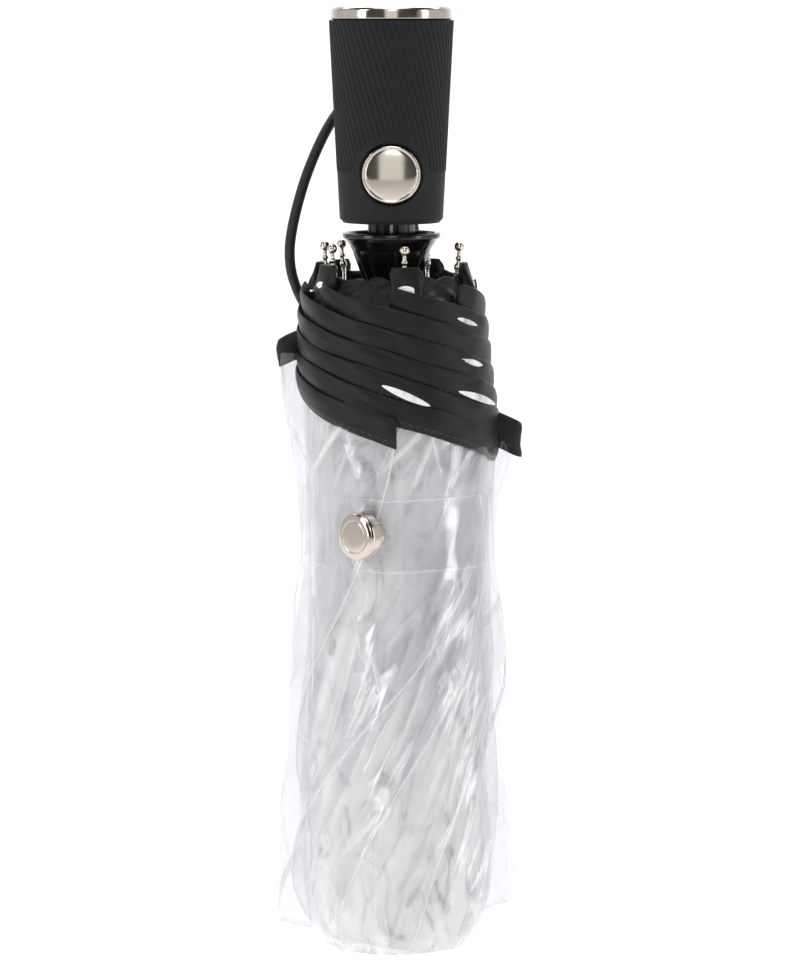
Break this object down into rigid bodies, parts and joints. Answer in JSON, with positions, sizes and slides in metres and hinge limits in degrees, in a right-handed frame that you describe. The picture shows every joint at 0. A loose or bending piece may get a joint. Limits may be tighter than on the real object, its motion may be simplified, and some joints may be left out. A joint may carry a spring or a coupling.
{
  "type": "folded compact umbrella",
  "caption": "Folded automatic compact umbrella, handle up: fluted grip, push button, wrist cord, telescoping shaft, folding ribs, bound clear film canopy and snap strap.",
  "frame": {"origin": "on the shaft's axis, on the flat face of the cap that closes the handle", "axes": "+Z along the shaft, from the crown to the handle's cap; -Y is the front, where the push button is; +X is to the right as seen from the front"},
  "size_m": [0.0726, 0.0728, 0.2915],
  "materials": {
    "champagne_metal": "polished pale champagne nickel",
    "grip_rubber": "soft matte rubber with fine slanting flutes",
    "black_plastic": "glossy moulded black",
    "cord_fabric": "round braided black cord",
    "shaft_steel": "bright plated tube",
    "spring_steel": "drawn wire",
    "rib_silver": "pale satin metal",
    "rib_wire": "bright wire with polished ball tips",
    "white_plastic": "pale translucent moulding",
    "binding_fabric": "woven black polyester tape, stitched",
    "clear_film": "clear glossy film, creased and layered"
  },
  "bodies": {
    "handle": {"end_cap": "champagne_metal", "grip_sleeve": "grip_rubber", "handle_core": "black_plastic", "tip_cup": "black_plastic", "lower_tube": "shaft_steel", "wrist_cord": "cord_fabric", "button_spring": "spring_steel"},
    "button": {"push_button": "champagne_metal"},
    "middle_tube": {"middle_tube": "shaft_steel"},
    "upper_tube": {"upper_tube": "shaft_steel", "crown": "white_plastic", "ferrule": "white_plastic", "drive_spring": "spring_steel"},
    "runner": {"runner": "white_plastic"},
    "top_rib_1": {"top_rib_1": "rib_silver"},
    "stretcher_1": {"stretcher_1": "rib_silver"},
    "middle_rib_1": {"middle_rib_1": "rib_silver"},
    "outer_rib_1": {"outer_rib_1": "rib_wire", "edge_binding_1": "binding_fabric", "film_panel_1": "clear_film"},
    "top_rib_2": {"top_rib_2": "rib_silver"},
    "stretcher_2": {"stretcher_2": "rib_silver"},
    "middle_rib_2": {"middle_rib_2": "rib_silver"},
    "outer_rib_2": {"outer_rib_2": "rib_wire", "edge_binding_2": "binding_fabric", "film_panel_2": "clear_film"},
    "top_rib_3": {"top_rib_3": "rib_silver"},
    "stretcher_3": {"stretcher_3": "rib_silver"},
    "middle_rib_3": {"middle_rib_3": "rib_silver"},
    "outer_rib_3": {"outer_rib_3": "rib_wire", "edge_binding_3": "binding_fabric", "film_panel_3": "clear_film"},
    "top_rib_4": {"top_rib_4": "rib_silver"},
    "stretcher_4": {"stretcher_4": "rib_silver"},
    "middle_rib_4": {"middle_rib_4": "rib_silver"},
    "outer_rib_4": {"outer_rib_4": "rib_wire", "edge_binding_4": "binding_fabric", "film_panel_4": "clear_film"},
    "top_rib_5": {"top_rib_5": "rib_silver"},
    "stretcher_5": {"stretcher_5": "rib_silver"},
    "middle_rib_5": {"middle_rib_5": "rib_silver"},
    "outer_rib_5": {"outer_rib_5": "rib_wire", "edge_binding_5": "binding_fabric", "film_panel_5": "clear_film"},
    "top_rib_6": {"top_rib_6": "rib_silver"},
    "stretcher_6": {"stretcher_6": "rib_silver"},
    "middle_rib_6": {"middle_rib_6": "rib_silver"},
    "outer_rib_6": {"outer_rib_6": "rib_wire", "edge_binding_6": "binding_fabric", "film_panel_6": "clear_film"},
    "top_rib_7": {"top_rib_7": "rib_silver"},
    "stretcher_7": {"stretcher_7": "rib_silver"},
    "middle_rib_7": {"middle_rib_7": "rib_silver"},
    "outer_rib_7": {"outer_rib_7": "rib_wire", "edge_binding_7": "binding_fabric", "film_panel_7": "clear_film", "closing_strap": "clear_film", "snap_socket": "champagne_metal"},
    "strap_tab": {"strap_tab": "clear_film", "snap_cap": "champagne_metal"}
  },
  "joints": [
    {"name": "button_press", "type": "slide", "parent": "handle", "child": "button", "axis": [0, 1, 0], "range_m": [0, 0.0015], "stiffness_N_per_m": 400, "springref_m": -0.001, "deforming": ["button_spring"]},
    {"name": "middle_tube_slide", "type": "slide", "parent": "handle", "child": "middle_tube", "axis": [0, 0, -1], "range_m": [0, 0.19]},
    {"name": "upper_tube_slide", "type": "slide", "parent": "middle_tube", "child": "upper_tube", "axis": [0, 0, -1], "range_m": [0, 0.19], "deforming": ["drive_spring"]},
    {"name": "runner_slide", "type": "slide", "parent": "upper_tube", "child": "runner", "axis": [0, 0, -1], "range_m": [0, 0.078], "deforming": ["wrist_cord", "closing_strap", "strap_tab"]},
    {"name": "top_rib_1_pivot", "type": "hinge", "parent": "upper_tube", "child": "top_rib_1", "pos_m": [0.00179, -0.00923, -0.274], "axis": [0.9816, 0.1908, 0], "range_deg": [0, 75.5]},
    {"name": "stretcher_1_pivot", "type": "hinge", "parent": "runner", "child": "stretcher_1", "pos_m": [0.00179, -0.00923, -0.104], "axis": [-0.9816, -0.1908, 0], "range_deg": [0, 43]},
    {"name": "middle_rib_1_elbow", "type": "hinge", "parent": "top_rib_1", "child": "middle_rib_1", "pos_m": [0.00208, -0.0107, -0.114], "axis": [-0.9816, -0.1908, 0], "range_deg": [0, 200.5]},
    {"name": "outer_rib_1_knee", "type": "hinge", "parent": "middle_rib_1", "child": "outer_rib_1", "pos_m": [0.00265, -0.01364, -0.254], "axis": [0.9816, 0.1908, 0], "range_deg": [0, 155.5]},
    {"name": "top_rib_2_pivot", "type": "hinge", "parent": "upper_tube", "child": "top_rib_2", "pos_m": [0.00833, -0.00435, -0.274], "axis": [0.4629, 0.8864, 0], "range_deg": [0, 75.5]},
    {"name": "stretcher_2_pivot", "type": "hinge", "parent": "runner", "child": "stretcher_2", "pos_m": [0.00833, -0.00435, -0.104], "axis": [-0.4629, -0.8864, 0], "range_deg": [0, 43]},
    {"name": "middle_rib_2_elbow", "type": "hinge", "parent": "top_rib_2", "child": "middle_rib_2", "pos_m": [0.00966, -0.00505, -0.114], "axis": [-0.4629, -0.8864, 0], "range_deg": [0, 200.5]},
    {"name": "outer_rib_2_knee", "type": "hinge", "parent": "middle_rib_2", "child": "outer_rib_2", "pos_m": [0.01232, -0.00643, -0.254], "axis": [0.4629, 0.8864, 0], "range_deg": [0, 155.5]},
    {"name": "top_rib_3_pivot", "type": "hinge", "parent": "upper_tube", "child": "top_rib_3", "pos_m": [0.0086, 0.0038, -0.274], "axis": [-0.4045, 0.9146, 0], "range_deg": [0, 75.5]},
    {"name": "stretcher_3_pivot", "type": "hinge", "parent": "runner", "child": "stretcher_3", "pos_m": [0.0086, 0.0038, -0.104], "axis": [0.4045, -0.9146, 0], "range_deg": [0, 43]},
    {"name": "middle_rib_3_elbow", "type": "hinge", "parent": "top_rib_3", "child": "middle_rib_3", "pos_m": [0.00997, 0.00441, -0.114], "axis": [0.4045, -0.9146, 0], "range_deg": [0, 200.5]},
    {"name": "outer_rib_3_knee", "type": "hinge", "parent": "middle_rib_3", "child": "outer_rib_3", "pos_m": [0.01271, 0.00562, -0.254], "axis": [-0.4045, 0.9146, 0], "range_deg": [0, 155.5]},
    {"name": "top_rib_4_pivot", "type": "hinge", "parent": "upper_tube", "child": "top_rib_4", "pos_m": [0.00239, 0.00909, -0.274], "axis": [-0.9672, 0.254, 0], "range_deg": [0, 75.5]},
    {"name": "stretcher_4_pivot", "type": "hinge", "parent": "runner", "child": "stretcher_4", "pos_m": [0.00239, 0.00909, -0.104], "axis": [0.9672, -0.254, 0], "range_deg": [0, 43]},
    {"name": "middle_rib_4_elbow", "type": "hinge", "parent": "top_rib_4", "child": "middle_rib_4", "pos_m": [0.00277, 0.01054, -0.114], "axis": [0.9672, -0.254, 0], "range_deg": [0, 200.5]},
    {"name": "outer_rib_4_knee", "type": "hinge", "parent": "middle_rib_4", "child": "outer_rib_4", "pos_m": [0.00353, 0.01344, -0.254], "axis": [-0.9672, 0.254, 0], "range_deg": [0, 155.5]},
    {"name": "top_rib_5_pivot", "type": "hinge", "parent": "upper_tube", "child": "top_rib_5", "pos_m": [-0.00562, 0.00754, -0.274], "axis": [-0.8016, -0.5978, 0], "range_deg": [0, 75.5]},
    {"name": "stretcher_5_pivot", "type": "hinge", "parent": "runner", "child": "stretcher_5", "pos_m": [-0.00562, 0.00754, -0.104], "axis": [0.8016, 0.5978, 0], "range_deg": [0, 43]},
    {"name": "middle_rib_5_elbow", "type": "hinge", "parent": "top_rib_5", "child": "middle_rib_5", "pos_m": [-0.00652, 0.00874, -0.114], "axis": [0.8016, 0.5978, 0], "range_deg": [0, 200.5]},
    {"name": "outer_rib_5_knee", "type": "hinge", "parent": "middle_rib_5", "child": "outer_rib_5", "pos_m": [-0.00831, 0.01114, -0.254], "axis": [-0.8016, -0.5978, 0], "range_deg": [0, 155.5]},
    {"name": "top_rib_6_pivot", "type": "hinge", "parent": "upper_tube", "child": "top_rib_6", "pos_m": [-0.0094, 0.0003, -0.274], "axis": [-0.0324, -0.9995, 0], "range_deg": [0, 75.5]},
    {"name": "stretcher_6_pivot", "type": "hinge", "parent": "runner", "child": "stretcher_6", "pos_m": [-0.0094, 0.0003, -0.104], "axis": [0.0324, 0.9995, 0], "range_deg": [0, 43]},
    {"name": "middle_rib_6_elbow", "type": "hinge", "parent": "top_rib_6", "child": "middle_rib_6", "pos_m": [-0.01089, 0.00035, -0.114], "axis": [0.0324, 0.9995, 0], "range_deg": [0, 200.5]},
    {"name": "outer_rib_6_knee", "type": "hinge", "parent": "middle_rib_6", "child": "outer_rib_6", "pos_m": [-0.01389, 0.00045, -0.254], "axis": [-0.0324, -0.9995, 0], "range_deg": [0, 155.5]},
    {"name": "top_rib_7_pivot", "type": "hinge", "parent": "upper_tube", "child": "top_rib_7", "pos_m": [-0.0061, -0.00715, -0.274], "axis": [0.7612, -0.6485, 0], "range_deg": [0, 75.5]},
    {"name": "stretcher_7_pivot", "type": "hinge", "parent": "runner", "child": "stretcher_7", "pos_m": [-0.0061, -0.00715, -0.104], "axis": [-0.7612, 0.6485, 0], "range_deg": [0, 43]},
    {"name": "middle_rib_7_elbow", "type": "hinge", "parent": "top_rib_7", "child": "middle_rib_7", "pos_m": [-0.00707, -0.0083, -0.114], "axis": [-0.7612, 0.6485, 0], "range_deg": [0, 200.5]},
    {"name": "outer_rib_7_knee", "type": "hinge", "parent": "middle_rib_7", "child": "outer_rib_7", "pos_m": [-0.00901, -0.01058, -0.254], "axis": [0.7612, -0.6485, 0], "range_deg": [0, 155.5]},
    {"name": "strap_peel", "type": "hinge", "parent": "outer_rib_7", "child": "strap_tab", "pos_m": [0.01007, -0.02767, -0.1563], "axis": [0, 0, 1], "range_deg": [0, 105]}
  ],
  "couplings": [
    {"joint": "top_rib_1_pivot", "follows": "runner_slide", "rad_per_m": 16.782},
    {"joint": "stretcher_1_pivot", "follows": "runner_slide", "rad_per_m": 9.5098},
    {"joint": "middle_rib_1_elbow", "follows": "runner_slide", "rad_per_m": 44.752},
    {"joint": "outer_rib_1_knee", "follows": "runner_slide", "rad_per_m": 34.683},
    {"joint": "top_rib_2_pivot", "follows": "runner_slide", "rad_per_m": 16.782},
    {"joint": "stretcher_2_pivot", "follows": "runner_slide", "rad_per_m": 9.5098},
    {"joint": "middle_rib_2_elbow", "follows": "runner_slide", "rad_per_m": 44.752},
    {"joint": "outer_rib_2_knee", "follows": "runner_slide", "rad_per_m": 34.683},
    {"joint": "top_rib_3_pivot", "follows": "runner_slide", "rad_per_m": 16.782},
    {"joint": "stretcher_3_pivot", "follows": "runner_slide", "rad_per_m": 9.5098},
    {"joint": "middle_rib_3_elbow", "follows": "runner_slide", "rad_per_m": 44.752},
    {"joint": "outer_rib_3_knee", "follows": "runner_slide", "rad_per_m": 34.683},
    {"joint": "top_rib_4_pivot", "follows": "runner_slide", "rad_per_m": 16.782},
    {"joint": "stretcher_4_pivot", "follows": "runner_slide", "rad_per_m": 9.5098},
    {"joint": "middle_rib_4_elbow", "follows": "runner_slide", "rad_per_m": 44.752},
    {"joint": "outer_rib_4_knee", "follows": "runner_slide", "rad_per_m": 34.683},
    {"joint": "top_rib_5_pivot", "follows": "runner_slide", "rad_per_m": 16.782},
    {"joint": "stretcher_5_pivot", "follows": "runner_slide", "rad_per_m": 9.5098},
    {"joint": "middle_rib_5_elbow", "follows": "runner_slide", "rad_per_m": 44.752},
    {"joint": "outer_rib_5_knee", "follows": "runner_slide", "rad_per_m": 34.683},
    {"joint": "top_rib_6_pivot", "follows": "runner_slide", "rad_per_m": 16.782},
    {"joint": "stretcher_6_pivot", "follows": "runner_slide", "rad_per_m": 9.5098},
    {"joint": "middle_rib_6_elbow", "follows": "runner_slide", "rad_per_m": 44.752},
    {"joint": "outer_rib_6_knee", "follows": "runner_slide", "rad_per_m": 34.683},
    {"joint": "top_rib_7_pivot", "follows": "runner_slide", "rad_per_m": 16.782},
    {"joint": "stretcher_7_pivot", "follows": "runner_slide", "rad_per_m": 9.5098},
    {"joint": "middle_rib_7_elbow", "follows": "runner_slide", "rad_per_m": 44.752},
    {"joint": "outer_rib_7_knee", "follows": "runner_slide", "rad_per_m": 34.683}
  ]
}
